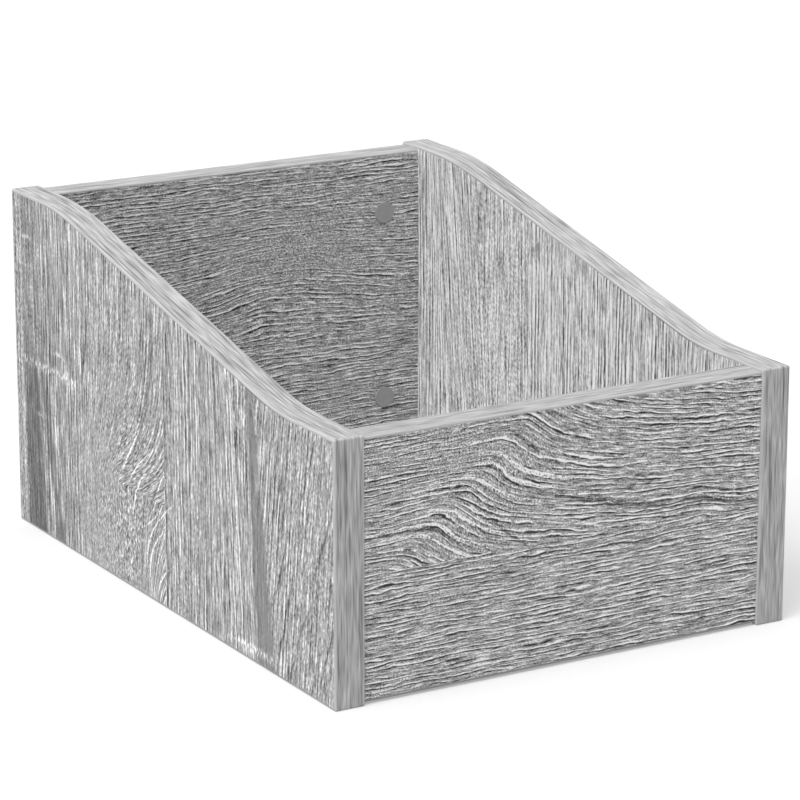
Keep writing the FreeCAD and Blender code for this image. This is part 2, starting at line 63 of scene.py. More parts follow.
class Signal:
    """A shader value that takes part in Python arithmetic; each operator adds one Math node."""

    def __init__(self, sheet: "NodeSheet", socket: bpy.types.NodeSocket) -> None:
        """Keeps the socket and the sheet that it is on."""
        self.sheet = sheet
        self.socket = socket

    def __add__(self, other: "Signal | float") -> "Signal":
        """The sum."""
        return self.sheet.maths("ADD", self, other)

    def __radd__(self, other: float) -> "Signal":
        """The sum, with a number on the left."""
        return self.sheet.maths("ADD", other, self)

    def __sub__(self, other: "Signal | float") -> "Signal":
        """The difference."""
        return self.sheet.maths("SUBTRACT", self, other)

    def __rsub__(self, other: float) -> "Signal":
        """The difference, with a number on the left."""
        return self.sheet.maths("SUBTRACT", other, self)

    def __mul__(self, other: "Signal | float") -> "Signal":
        """The product."""
        return self.sheet.maths("MULTIPLY", self, other)

    def __rmul__(self, other: float) -> "Signal":
        """The product, with a number on the left."""
        return self.sheet.maths("MULTIPLY", other, self)

    def __truediv__(self, other: "Signal | float") -> "Signal":
        """The quotient."""
        return self.sheet.maths("DIVIDE", self, other)

    def __rtruediv__(self, other: float) -> "Signal":
        """The quotient, with a number on the left."""
        return self.sheet.maths("DIVIDE", other, self)

    def __pow__(self, other: "Signal | float") -> "Signal":
        """The power."""
        return self.sheet.maths("POWER", self, other)

    def __rpow__(self, other: float) -> "Signal":
        """The power, with a number as its base."""
        return self.sheet.maths("POWER", other, self)

    def __abs__(self) -> "Signal":
        """The value without its sign."""
        return self.sheet.maths("ABSOLUTE", self)

    def above(self, edge: float) -> "Signal":
        """1 where the value is greater than the edge, and 0 elsewhere."""
        return self.sheet.maths("GREATER_THAN", self, edge)

    def at_least(self, floor: "Signal | float") -> "Signal":
        """The greater of the two values."""
        return self.sheet.maths("MAXIMUM", self, floor)

    def at_most(self, ceiling: float) -> "Signal":
        """The lesser of the two values."""
        return self.sheet.maths("MINIMUM", self, ceiling)

    def within(self, low: float, high: float) -> "Signal":
        """The value, kept between two limits."""
        return self.at_least(low).at_most(high)

    def times_plus(self, factor: "Signal | float", extra: "Signal | float") -> "Signal":
        """The value times a factor plus an extra, in one node."""
        return self.sheet.maths("MULTIPLY_ADD", self, factor, extra)

    def off(self, middle: float, reach: float) -> "Signal":
        """The distance past a middle as a share of a reach, in one node."""
        return self.times_plus(1.0 / reach, -middle / reach)

    def fraction(self) -> "Signal":
        """The part of the value after the point, from 0 to 1."""
        return self.sheet.maths("FRACT", self)

    def decayed(self) -> "Signal":
        """e to the power of minus the value."""
        return math.exp(-1.0) ** self

    def bell(self, reach: float) -> "Signal":
        """1 at zero, falling off both ways: e to the power of minus the square of value over reach."""
        share = self / reach
        return (share * share).decayed()

    def painted_emboss_light(self, reach: float) -> "Signal":
        """Minus 1 before zero and 1 after it: value over reach times the bell of that reach."""
        share = self * (1.0 / reach)
        return share * (share * share).decayed() * math.sqrt(2.0 * math.e)

    def eased(self, low: float, high: float) -> "Signal":
        """A smooth rise from 0 at low to 1 at high, flat outside them."""
        sockets = {"Value": self, "From Min": low, "From Max": high}
        return self.sheet.signal("ShaderNodeMapRange", {"interpolation_type": "SMOOTHSTEP"}, sockets)

    def between(self, low: float, high: float, soft: float) -> "Signal":
        """1 from low to high, with a smooth edge of the soft length inside each end."""
        return self.eased(low, low + soft) * (1.0 - self.eased(high - soft, high))


class NodeSheet:
    """A node tree that is filled from Python expressions."""

    def __init__(self, tree: bpy.types.NodeTree) -> None:
        """Takes over a tree and empties it."""
        self.tree = tree
        self.tree.nodes.clear()

    def add(self, kind: str, settings: Mapping[str, Any], sockets: Mapping[Any, Any]) -> bpy.types.Node:
        """Adds one node.

        Args:
            kind: The node's type.
            settings: Its settings, which are set first.
            sockets: The value or link of each of its sockets.

        Returns:
            The new node.
        """
        node = self.tree.nodes.new(kind)
        for key, value in settings.items():
            setattr(node, key, value)
        for key, value in sockets.items():
            if isinstance(value, Signal):
                value = value.socket
            if isinstance(value, bpy.types.NodeSocket):
                self.tree.links.new(value, node.inputs[key])
            else:
                node.inputs[key].default_value = value
        return node

    def signal(self, kind: str, settings: Mapping[str, Any], sockets: Mapping[Any, Any]) -> Signal:
        """Adds one node and wraps its first output."""
        return Signal(self, self.add(kind, settings, sockets).outputs[0])

    def maths(self, operation: str, *terms: Signal | float) -> Signal:
        """One Math node on values."""
        return self.signal("ShaderNodeMath", {"operation": operation}, dict(enumerate(terms)))


class FinishSheet(NodeSheet):
    """One material's node tree."""

    def __init__(self, name: str) -> None:
        """Starts an empty material of that name."""
        self.material = bpy.data.materials.new(name)
        self.material.use_nodes = True
        super().__init__(self.material.node_tree)

    def split(self, place: bpy.types.NodeSocket) -> list[Signal]:
        """Splits a place and turns it from metres to millimetres.

        Args:
            place: The socket that gives the place.

        Returns:
            Its three parts.
        """
        sockets = {0: place, "Scale": MILLIMETRES}
        scaled = self.add("ShaderNodeVectorMath", {"operation": "SCALE"}, sockets)
        parts = self.add("ShaderNodeSeparateXYZ", {}, {0: scaled.outputs[0]})
        return [Signal(self, part) for part in parts.outputs]

    def object_place(self) -> list[Signal]:
        """The place on the piece in its own frame: X, Y and Z."""
        return self.split(self.add("ShaderNodeTexCoord", {}, {}).outputs["Object"])

    def strip_place(self) -> list[Signal]:
        """The place on a band: along it and across its developed width."""
        return self.split(self.add("ShaderNodeUVMap", {"uv_map": STRIP_MAP}, {}).outputs[0])[:2]

    def cloud(self, place: list[Signal | float], detail: float, rough: float = 0.5) -> Signal:
        """Smooth noise of about one unit's wavelength.

        Args:
            place: The three parts of the place in the noise.
            detail: How many finer layers it has.
            rough: How strong each finer layer is.

        Returns:
            A value from about -0.5 to 0.5.
        """
        vector = self.add("ShaderNodeCombineXYZ", {}, dict(enumerate(place)))
        sockets = {"Vector": vector.outputs[0], "Scale": 1.0, "Detail": detail, "Roughness": rough}
        return self.signal("ShaderNodeTexNoise", {"noise_dimensions": "3D"}, sockets) - 0.5

    def drawn_out(self, place: list[Signal], pitch: float, length: float, detail: float = 0.0) -> Signal:
        """Noise of one length in a place's second direction and one pitch in the others."""
        x, y, z = place
        return self.cloud([x / pitch, y / length, z / pitch], detail)

    def blended(
        self, share: Signal, first: tuple[float, ...], second: tuple[float, ...]
    ) -> bpy.types.NodeSocket:
        """A colour between two, by share; the Mix node's colours follow its values and vectors."""
        node = self.add("ShaderNodeMix", {"data_type": "RGBA"}, {0: share, 6: first, 7: second})
        return node.outputs[2]

    def relief(self, height: Signal, strength: float, depth: float) -> bpy.types.NodeSocket:
        """A surface normal tilted by a height map, depth metres for each unit of it."""
        sockets = {"Strength": strength, "Distance": depth, "Height": height}
        return self.add("ShaderNodeBump", {}, sockets).outputs[0]

    def finish(self, sockets: Mapping[str, Any]) -> bpy.types.Material:
        """Ends the sheet with one Principled shader.

        Args:
            sockets: The value or link of each of the shader's sockets.

        Returns:
            The material.
        """
        shader = self.add("ShaderNodeBsdfPrincipled", {}, sockets)
        self.add("ShaderNodeOutputMaterial", {}, {"Surface": shader.outputs[0]})
        return self.material


# printed grain


@dataclass(frozen=True)
class Spot:
    """A place on a print: its node sheet, across and along the grain, and the pattern's layer."""

    sheet: FinishSheet
    across: Signal
    along: Signal
    layer: Signal | float


@dataclass(frozen=True)
class Noise:
    """Noise drawn out along the grain, from a slice of the pattern of its own. In millimetres."""

    pitch: float
    length: float
    slice: float = 0.0
    detail: float = 1.0
    rough: float = 0.5

    def at(self, spot: Spot, across: Signal) -> Signal:
        """The noise at a spot, for a place across that may be shifted: from about -0.5 to 0.5."""
        place = [across / self.pitch, spot.along / self.length, spot.layer + self.slice]
        return spot.sheet.cloud(place, self.detail, self.rough)


@dataclass(frozen=True, kw_only=True)
class Patches(Noise):
    """Noise made into patches: a smooth rise from the floor between two values of the noise."""

    low: float
    high: float
    rise: float = 1.0
    floor: float = 0.0

    def at(self, spot: Spot, across: Signal) -> Signal:
        """The patches at a spot, from the floor to the floor plus the rise."""
        return super().at(spot, across).eased(self.low, self.high).times_plus(self.rise, self.floor)


class Grain(Enum):
    """How a board's grain runs: the axes across it, along it and through the board."""

    UPRIGHT = (1, 2, 0)
    LEVEL = (2, 0, 1)
    DEEP = (0, 1, 2)


@dataclass(frozen=True)
class Sweep:
    """Grain lines that come down straight, lean over more and more, and crowd at a plank's edge.

    Above the base the shift is the reach times e to the power of minus the height over the run, less towards
    the crowded edge. Below the base the lines beside the other edge lean evenly. Lengths are in millimetres.
    """

    plank_from: float
    plank_to: float
    crowd_from: float
    reach: float
    base: float
    run: float
    tail: float
    tail_reach: float

    def shift(self, spot: Spot) -> Signal:
        """Works out how far the grain lines are displaced.

        Args:
            spot: The place.

        Returns:
            The displacement across the grain.
        """
        height = spot.along - self.base
        swept = (height.at_least(0.0) / self.run).decayed()
        swept = swept * (1.0 - spot.across.eased(self.crowd_from, self.plank_to))
        tail = height.at_most(0.0) * (1.0 - spot.across.eased(0.0, self.tail_reach))
        inside = spot.across.above(self.plank_from) * (1.0 - spot.across.above(self.plank_to))
        return (tail * self.tail - swept * self.reach) * inside


@dataclass(frozen=True)
class Fall:
    """Grain lines that rise gently to a leaning ridge, drop behind it and level out slowly.

    Past the ridge the shift dies away as two powers of e, a short one and a long one, and a third builds it
    up before the ridge. The distance from the ridge is softened: half of the root of its square plus the
    softness squared, plus or minus half of the distance. The plank's lines are numbered apart from its
    neighbour's. Lengths are in millimetres.
    """

    across: float
    along: float
    lean: float
    drop: float
    drop_run: float
    tail: float
    tail_run: float
    rise: float
    rise_run: float
    soft: float
    plank_from: float
    apart: float

    def shift(self, spot: Spot) -> Signal:
        """Works out how far the grain lines are displaced.

        Args:
            spot: The place.

        Returns:
            The displacement across the grain.
        """
        past = spot.along - (spot.across - self.across) * self.lean - self.along
        root = (past * past + self.soft**2) ** 0.5
        behind, before = (root + past) * 0.5, (root - past) * 0.5
        drop = (behind / self.drop_run).decayed() * self.drop
        drop = drop + (behind / self.tail_run).decayed() * self.tail
        rise = (1.0 - (before / self.rise_run).decayed()) * self.rise
        return (rise - drop + self.apart) * spot.across.above(self.plank_from)


@dataclass(frozen=True)
class Swell:
    """Grain lines over a low hump: the height times a bell in each direction. In millimetres."""

    across: float
    along: float
    reach_across: float
    reach_along: float
    height: float

    def shift(self, spot: Spot) -> Signal:
        """How far the grain lines are displaced across the grain at a spot."""
        hump = (spot.across - self.across).bell(self.reach_across)
        return hump * (spot.along - self.along).bell(self.reach_along) * -self.height


@dataclass(frozen=True)
class Lean:
    """Straight grain that leans: the slope times the place along it, inside tilted edges. In millimetres."""

    low: float
    high: float
    slope: float
    tilt: float = 0.112
    along: float = 100.0
    soft: float = 8.0

    def shift(self, spot: Spot) -> Signal:
        """How far the grain lines are displaced across the grain at a spot."""
        inside = (spot.across - spot.along * self.tilt).between(self.low, self.high, self.soft)
        return (spot.along - self.along) * inside * -self.slope


Figure = Sweep | Fall | Swell | Lean


@dataclass(frozen=True)
class Speckle:
    """An oval where the grain breaks up into specks: a bell in each direction. In millimetres."""

    across: float
    along: float
    reach_across: float
    reach_along: float
    share: float = 1.0

    def presence(self, spot: Spot) -> Signal:
        """Works out the share of specks.

        Args:
            spot: The place.

        Returns:
            The share, from 0 to the oval's own.
        """
        aside = spot.across.off(self.across, self.reach_across)
        ahead = spot.along.off(self.along, self.reach_along)
        return ahead.times_plus(ahead, aside * aside).decayed() * self.share


@dataclass(frozen=True)
class Stain:
    """A long dark stripe, straight, that leans and widens, and fades towards its upper end.

    It is 1 where the distance from its middle line is less than its half width, softly edged. Both the line
    and the half width change evenly along the grain. Lengths are in millimetres.
    """

    across_low: float
    across_high: float
    half_low: float
    half_high: float
    depth: float
    calm: float
    fade_from: float
    along_high: float = 200.0
    fade_before: float = 20.0
    fade_after: float = 30.0
    faded: float = 0.65
    edge: tuple[float, float] = (0.66, 1.24)

    def presence(self, spot: Spot) -> Signal:
        """Works out how much of the stripe shows.

        Args:
            spot: The place.

        Returns:
            1 in the stripe, less where it has faded, and 0 outside it.
        """
        rise = spot.along / self.along_high
        middle = rise * (self.across_high - self.across_low) + self.across_low
        half = rise * (self.half_high - self.half_low) + self.half_low
        fade = spot.along.eased(self.fade_from - self.fade_before, self.fade_from + self.fade_after)
        return (1.0 - (abs(spot.across - middle) / half).eased(*self.edge)) * (1.0 - self.faded * fade)


@dataclass(frozen=True)
class SawMark:
    """A pale row of tear-out across the grain, between two places. Lengths are in millimetres."""

    along: float
    across_low: float
    across_high: float
    strength: float
    half: float
    end_soft: float = 10.0

    def row(self, across: Signal, along: Signal) -> Signal:
        """The row's tone at a place, before it is torn."""
        inside = across.between(self.across_low, self.across_high, self.end_soft)
        return (along - self.along).bell(self.half) * inside * self.strength


@dataclass(frozen=True)
class Stroke:
    """One drawn line of the print, pale or dark, with faded ends.

    It is a long oval bell: e to the power of minus the sum of two squares, the distance off the line over its
    half width and the distance from its middle over its half length. It follows the grain lines, or, where it
    is free, the board itself. It leans by so much across for each length along, and bows out by so much at
    its middle. Lengths are in millimetres.
    """

    level: float
    start: float
    end: float
    tone: float
    half: float
    lean: float = 0.0
    bow: float = 0.0
    free: bool = False

    def mark(self, line: Signal, along: Signal) -> Signal:
        """Draws the line.

        Args:
            line: The place across what the line follows.
            along: The place along the grain.

        Returns:
            The tone that it adds.
        """
        reach = (self.end - self.start) / 2
        level = self.level + self.bow
        if self.lean != 0.0:
            line = along.times_plus(-self.lean, line)
            level = level - self.start * self.lean
        aside = line.off(level, self.half)
        ahead = along.off(self.start + reach, reach)
        square = ahead * ahead
        if self.bow != 0.0:
            aside = square.times_plus(self.bow / self.half, aside)
        return aside.times_plus(aside, square).decayed() * self.tone


def table(kind: type, *rows: tuple[float, ...], **shared: Any) -> tuple[Any, ...]:
    """One mark of a kind from each row of its values, in the order of its fields."""
    return tuple(kind(*row, **shared) for row in rows)


# wood finishes


@dataclass(frozen=True)
class GrainSpot(Spot):
    """A spot with its grain: the wave and wriggle of its lines, the place across them, its specks."""

    through: Signal
    wave: Signal
    line: Signal
    wriggle: Signal
    speckle: Signal
    specks: Signal
    plain: Signal


@dataclass(frozen=True)
class OakDecor:
    """A grey oak print: planks with fibres, engraved lines, figure, stains, strokes and saw marks.

    The engraved lines are pairs at each whole number of pitches across the grain: a dark pore line with a
    painted highlight close beside it, the light and shade of an embossed relief painted into the colour.
    Noise shifts their phase and fades them in and out. Tones are display values from 0 to 1. Lengths are
    in millimetres, and the relief's depth is in metres.
    """

    grain: Grain
    seed: float
    tone: float = 0.627
    tone_limits: tuple[float, float] = (0.16, 0.99)
    layer_depth: float = 9.0
    plank_slice: float = 6.3
    seams: tuple[float, ...] = ()
    seam_lines: tuple[tuple[float, float, float], ...] = ((1.2, 1.0, 0.04), (-0.8, 0.9, -0.05))
    figures: tuple[Figure, ...] = ()
    wave: Noise = Noise(55.0, 90.0, detail=2.0)
    wander: float = 3.2
    wriggle: Noise = Noise(6.0, 9.0, slice=13.1)
    wriggle_width: float = 2.6
    fibre: Noise = Noise(1.5, 22.0, rough=0.7)
    fibre_strength: float = 1.15
    streak: Noise = Noise(1.8, 260.0, slice=31.7)
    streak_strength: float = 0.50
    specks: tuple[Speckle, ...] = ()
    zone: Patches = Patches(60.0, 140.0, slice=83.9, detail=0.0, low=0.02, high=0.22, rise=0.25)
    speckle: Noise = Noise(1.8, 3.2, slice=19.3)
    speckle_strength: float = 1.35
    speckle_floor: float = 0.3
    speckle_cover: float = 0.8
    # dark pore lines across the grain, each with a painted highlight beside it: an embossed relief's light
    # and shade painted into the colour
    engraved_pitch: float = 5.0
    pore_and_painted_highlight_strength: float = 0.20
    pore_and_highlight_reach: float = 0.25
    jag: float = 0.2
    sway: Noise = Noise(13.0, 260.0, slice=47.2, detail=2.0)
    sway_turns: float = 2.2
    fade: Patches = Patches(5.0, 260.0, slice=61.5, low=-0.12, high=0.20, rise=1.1, floor=0.15)
    chip: Patches = Patches(1.6, 14.0, slice=97.0, detail=0.0, low=-0.18, high=0.12, rise=0.9, floor=0.45)
    contrast: float = 1.4
    contrast_floor: float = 0.76
    strokes: tuple[Stroke, ...] = ()
    bead: Patches = Patches(1.5, 2.2, slice=5.5, detail=0.0, low=-0.16, high=0.10, rise=0.8, floor=0.3)
    raggedness: float = 2.5
    free_raggedness: float = 0.8
    board_wave: float = 8.0
    ring: Noise = Noise(16.0, 260.0, slice=57.1)
    ring_edge: tuple[float, float] = (0.06, 0.20)
    ring_depth: float = 0.04
    # painted light: how much lighter the inner face is painted, and the depth through the board where the
    # inner face ends
    inner_painted_light: float = 0.0
    inner_to: float = 0.0
    stains: tuple[Stain, ...] = ()
    saw_marks: tuple[SawMark, ...] = ()
    torn: Patches = Patches(2.0, 4.5, slice=71.0, detail=0.0, low=-0.10, high=0.16)
    rough: float = 0.58
    rough_change: float = 0.20
    rough_limits: tuple[float, float] = (0.35, 0.85)
    relief_strength: float = 0.15
    relief_depth: float = 0.0003

    def spot(self, sheet: FinishSheet) -> GrainSpot:
        """Works out the grain at a place.

        Args:
            sheet: The material's node sheet.

        Returns:
            The place with its grain.
        """
        place = sheet.object_place()
        across, along, through = (place[axis] for axis in self.grain.value)
        layer = through / self.layer_depth + self.seed
        for seam in self.seams:
            layer = layer + (across - seam).above(0.0) * self.plank_slice
        spot = Spot(sheet, across, along, layer)
        wave = self.wave.at(spot, across)
        line = across + wave * self.wander
        for figure in self.figures:
            line = line + figure.shift(spot)
        specks = self.zone.at(spot, across)
        for speck in self.specks:
            specks = specks + speck.presence(spot)
        specks = specks.at_most(1.0)
        wriggle = self.wriggle.at(spot, across) * self.wriggle_width
        speckle = self.speckle.at(spot, line)
        plain = 1.0 - self.speckle_cover * specks
        return GrainSpot(sheet, across, along, layer, through, wave, line, wriggle, speckle, specks, plain)

    def fine_print(self, spot: GrainSpot) -> Signal:
        """Prints the fibres, streaks, specks and engraved lines with their painted highlights, with strong
        tones made stronger.

        Args:
            spot: The place with its grain.

        Returns:
            The tone that they add.
        """
        fibres = self.fibre.at(spot, spot.line) * self.fibre_strength
        streaks = self.streak.at(spot, spot.line) * self.streak_strength
        shown = (1.0 - self.speckle_floor) * spot.specks + self.speckle_floor
        tone = (fibres + streaks) * spot.plain + spot.speckle * shown * self.speckle_strength
        sway = self.sway.at(spot, spot.line) * self.sway_turns
        phase = (spot.line + spot.wriggle * self.jag) / self.engraved_pitch + sway
        # painted light: each dark pore line gets a painted highlight beside it, as if an embossed relief were
        # lit
        pores_and_painted_highlights = (phase.fraction() - 0.5).painted_emboss_light(self.pore_and_highlight_reach) * self.chip.at(spot, spot.line)
        fade = self.fade.at(spot, spot.line) * spot.plain
        tone = tone + pores_and_painted_highlights * fade * self.pore_and_painted_highlight_strength
        return tone * (abs(tone) * self.contrast + self.contrast_floor)

    def stroked(self, spot: GrainSpot, tone: Signal) -> Signal:
        """Draws the strokes, the pale ones broken into beads.

        Args:
            spot: The place with its grain.
            tone: The print so far.

        Returns:
            The print with its strokes.
        """
        ragged = spot.wriggle + spot.speckle * self.raggedness
        drawn = spot.line + ragged
        straight = spot.across + ragged * self.free_raggedness + spot.wave * self.board_wave
        beads = self.bead.at(spot, spot.across)
        for stroke in self.strokes:
            mark = stroke.mark(straight if stroke.free else drawn, spot.along)
            tone = mark.times_plus(beads, tone) if stroke.tone > 0.0 else mark + tone
        return tone

    def ground_stains_and_painted_light(self, spot: GrainSpot, tone: Signal) -> tuple[Signal, Signal]:
        """Sets the ground tone under the print, with its rings, its stains and painted light on the inner
        face, and calms the print in the stains.

        Args:
            spot: The place with its grain.
            tone: The print so far.

        Returns:
            The print, and what the ground adds to it.
        """
        rings = self.ring.at(spot, spot.line)
        ground = (rings.eased(*self.ring_edge) * -self.ring_depth + rings * self.ring_depth) * spot.plain
        # painted light: the inner face is painted lighter, standing in for light that the shaded inside of
        # the box lacks
        if self.inner_painted_light > 0.0:
            ground = ground + (1.0 - spot.through.above(self.inner_to)) * self.inner_painted_light
        for stain in self.stains:
            here = stain.presence(spot)
            tone = tone * (1.0 - here * stain.calm)
            ground = ground - here * stain.depth
        return tone, ground

    def worn(self, spot: GrainSpot, tone: Signal) -> Signal:
        """Adds the torn saw marks and the thin lines along the seams.

        Args:
            spot: The place with its grain.
            tone: The print so far.

        Returns:
            The print with its marks.
        """
        if self.saw_marks:
            along = spot.along + spot.wave * self.board_wave
            rows = sum(mark.row(spot.across, along) for mark in self.saw_marks)
            tone = tone + rows * self.torn.at(spot, spot.across)
        for seam in self.seams:
            for offset, reach, change in self.seam_lines:
                tone = tone + (spot.across - (seam + offset)).bell(reach) * change
        return tone

    def dress(self, name: str) -> bpy.types.Material:
        """Builds the material.

        Args:
            name: The material's name.

        Returns:
            The finished material.
        """
        sheet = FinishSheet(name)
        spot = self.spot(sheet)
        tone = self.fine_print(spot)
        if self.strokes:
            tone = self.stroked(spot, tone)
        tone, ground = self.ground_stains_and_painted_light(spot, tone)
        tone = self.worn(spot, tone)
        shade = (tone + ground + self.tone).within(*self.tone_limits)
        rough = self.rough - tone * self.rough_change
        return sheet.finish(
            {
                "Base Color": shade**DISPLAY_POWER,
                "Roughness": rough.within(*self.rough_limits),
                "Normal": sheet.relief(tone, self.relief_strength, self.relief_depth),
            }
        )


@dataclass(frozen=True)
class LevelOak(OakDecor):
    """The same print as it lies on the front and back panels: level, with shorter, closer lines."""

    grain: Grain = Grain.LEVEL
    seed: float = 0.0
    tone: float = 0.650
    wave: Noise = replace(OakDecor.wave, pitch=34.0, length=60.0)
    wander: float = 3.0
    fibre: Noise = replace(OakDecor.fibre, pitch=0.9, length=10.0)
    fibre_strength: float = 1.1
    streak: Noise = replace(OakDecor.streak, length=36.0)
    streak_strength: float = 0.30
    speckle: Noise = replace(OakDecor.speckle, pitch=0.9, length=1.4)
    speckle_strength: float = 1.7
    speckle_floor: float = 0.5
    engraved_pitch: float = 3.3
    pore_and_painted_highlight_strength: float = 0.60
    pore_and_highlight_reach: float = 0.18
    jag: float = 0.55
    sway: Noise = replace(OakDecor.sway, pitch=8.58, length=44.0)
    fade: Patches = replace(OakDecor.fade, pitch=3.3, length=44.0)
    chip: Patches = replace(OakDecor.chip, length=6.0)
    ring: Noise = replace(OakDecor.ring, pitch=12.0, length=150.0)


@dataclass(frozen=True)
class BandFinish:
    """A thin plastic edge band: lengthwise grain, calmer over its rounded arrises, which carry painted light:
    a painted highlight for a positive arris tone and painted shade for a negative one.

    Dark lines run where a drawn-out noise is high, and patches of a second noise fade them. Tones are display
    values from 0 to 1. Lengths are in millimetres, and the relief's depth is in metres.
    """

    seed: float
    tone: float
    # painted light on the arrises: above 0 a painted highlight, below 0 painted shade
    arris_painted_light: float
    tone_limits: tuple[float, float] = (0.2, 0.97)
    line: Patches = Patches(1.8, 75.0, low=0.0, high=0.18)
    line_strength: float = 0.19
    fade: Patches = Patches(3.0, 40.0, slice=9.7, detail=0.0, low=-0.15, high=0.15, rise=0.40, floor=0.60)
    fibre: Noise = Noise(1.1, 22.0, slice=5.1)
    fibre_strength: float = 0.50
    broad: Noise = Noise(9.0, 160.0, slice=14.2)
    broad_strength: float = 0.02
    arris: tuple[float, float] = (10.5, 11.4)
    arris_calm: float = 0.7
    arris_light_variation: Noise = Noise(6.0, 30.0, slice=21.0, detail=2.0)
    arris_light_variation_strength: float = 0.05
    rough: float = 0.50
    rough_change: float = 0.3
    arris_polish: float = 0.06
    relief_strength: float = 0.2
    relief_depth: float = 0.0002

    def dress(self, name: str) -> bpy.types.Material:
        """Builds the material.

        Args:
            name: The material's name.

        Returns:
            The finished material.
        """
        sheet = FinishSheet(name)
        along, across = sheet.strip_place()
        spot = Spot(sheet, across, along, self.seed)
        lines = self.line.at(spot, across) * self.fade.at(spot, across) * self.line_strength
        fibres = self.fibre.at(spot, across) * self.fibre_strength
        arris = abs(across).eased(*self.arris)
        tone = (fibres - lines) * (1.0 - self.arris_calm * arris)
        # painted light on the arrises, made uneven along the band by noise
        arris_light_variation = self.arris_light_variation.at(spot, across) * self.arris_light_variation_strength + self.arris_painted_light
        ground = self.broad.at(spot, across) * self.broad_strength + arris * arris_light_variation + self.tone
        return sheet.finish(
            {
                "Base Color": (tone + ground).within(*self.tone_limits) ** DISPLAY_POWER,
                "Roughness": self.rough - tone * self.rough_change - arris * self.arris_polish,
                "Normal": sheet.relief(tone, self.relief_strength, self.relief_depth),
            }
        )


# fitting finishes


@dataclass(frozen=True)
class ZincFinish:
    """Zinc-plated die castings: grey metal with a fine crystal mottle and turning marks."""

    light: float = 0.62
    crystal_size: float = 1.6
    mottle: float = 0.16
    scratch_pitch: float = 0.5
    scratch_length: float = 6.0
    scratch_light: float = 0.08
    rough: float = 0.38
    rough_change: float = 0.25
    relief_strength: float = 0.15
    relief_depth: float = 0.00005

    def dress(self, name: str) -> bpy.types.Material:
        """Builds the material.

        Args:
            name: The material's name.

        Returns:
            The finished material.
        """
        sheet = FinishSheet(name)
        place = sheet.object_place()
        crystal = sheet.drawn_out(place, self.crystal_size, self.crystal_size, detail=3.0)
        scratch = sheet.drawn_out(place, self.scratch_pitch, self.scratch_length, detail=2.0)
        return sheet.finish(
            {
                "Base Color": crystal * self.mottle + scratch * self.scratch_light + self.light,
                "Metallic": 1.0,
                "Roughness": self.rough + crystal * self.rough_change,
                "Normal": sheet.relief(scratch, self.relief_strength, self.relief_depth),
            }
        )


@dataclass(frozen=True)
class BeechFinish:
    """Plain beech dowel stock: warm pale wood with short darker flecks along the rod."""

    pale: tuple[float, float, float, float] = (0.60, 0.42, 0.25, 1.0)
    dark: tuple[float, float, float, float] = (0.40, 0.25, 0.13, 1.0)
    dark_share: float = 0.35
    grain: Grain = Grain.LEVEL
    grain_pitch: float = 1.5
    grain_length: float = 18.0
    fleck_pitch: float = 0.5
    fleck_length: float = 3.0
    fleck_edge: tuple[float, float] = (0.10, 0.22)
    fleck_share: float = 0.5
    rough: float = 0.62
    fleck_rough: float = 0.1
    relief_strength: float = 0.3
    relief_depth: float = 0.0002

    def dress(self, name: str) -> bpy.types.Material:
        """Builds the material.

        Args:
            name: The material's name.

        Returns:
            The finished material.
        """
        sheet = FinishSheet(name)
        parts = sheet.object_place()
        place = [parts[axis] for axis in self.grain.value]
        grain = sheet.drawn_out(place, self.grain_pitch, self.grain_length, detail=2.0)
        fleck = sheet.drawn_out(place, self.fleck_pitch, self.fleck_length).eased(*self.fleck_edge)
        share = (grain + self.dark_share + fleck * self.fleck_share).within(0.0, 1.0)
        return sheet.finish(
            {
                "Base Color": sheet.blended(share, self.pale, self.dark),
                "Roughness": self.rough + fleck * self.fleck_rough,
                "Normal": sheet.relief(grain, self.relief_strength, self.relief_depth),
            }
        )


@dataclass(frozen=True)
class CapFinish:
    """Moulded grey cover caps: matt plastic with a fine spark-eroded texture."""

    tone: float = 0.61
    texture_size: float = 0.35
    texture_tone: float = 0.05
    shade_size: float = 6.0
    shade_tone: float = 0.06
    rough: float = 0.55
    rough_change: float = 0.2
    relief_strength: float = 0.25
    relief_depth: float = 0.0001

    def dress(self, name: str) -> bpy.types.Material:
        """Builds the material.

        Args:
            name: The material's name.

        Returns:
            The finished material.
        """
        sheet = FinishSheet(name)
        place = sheet.object_place()
        texture = sheet.drawn_out(place, self.texture_size, self.texture_size, detail=1.0)
        shade = sheet.drawn_out(place, self.shade_size, self.shade_size, detail=1.0)
        tone = shade * self.shade_tone + texture * self.texture_tone + self.tone
        return sheet.finish(
            {
                "Base Color": tone**DISPLAY_POWER,
                "Roughness": self.rough + texture * self.rough_change,
                "Normal": sheet.relief(texture, self.relief_strength, self.relief_depth),
            }
        )


# edge bands


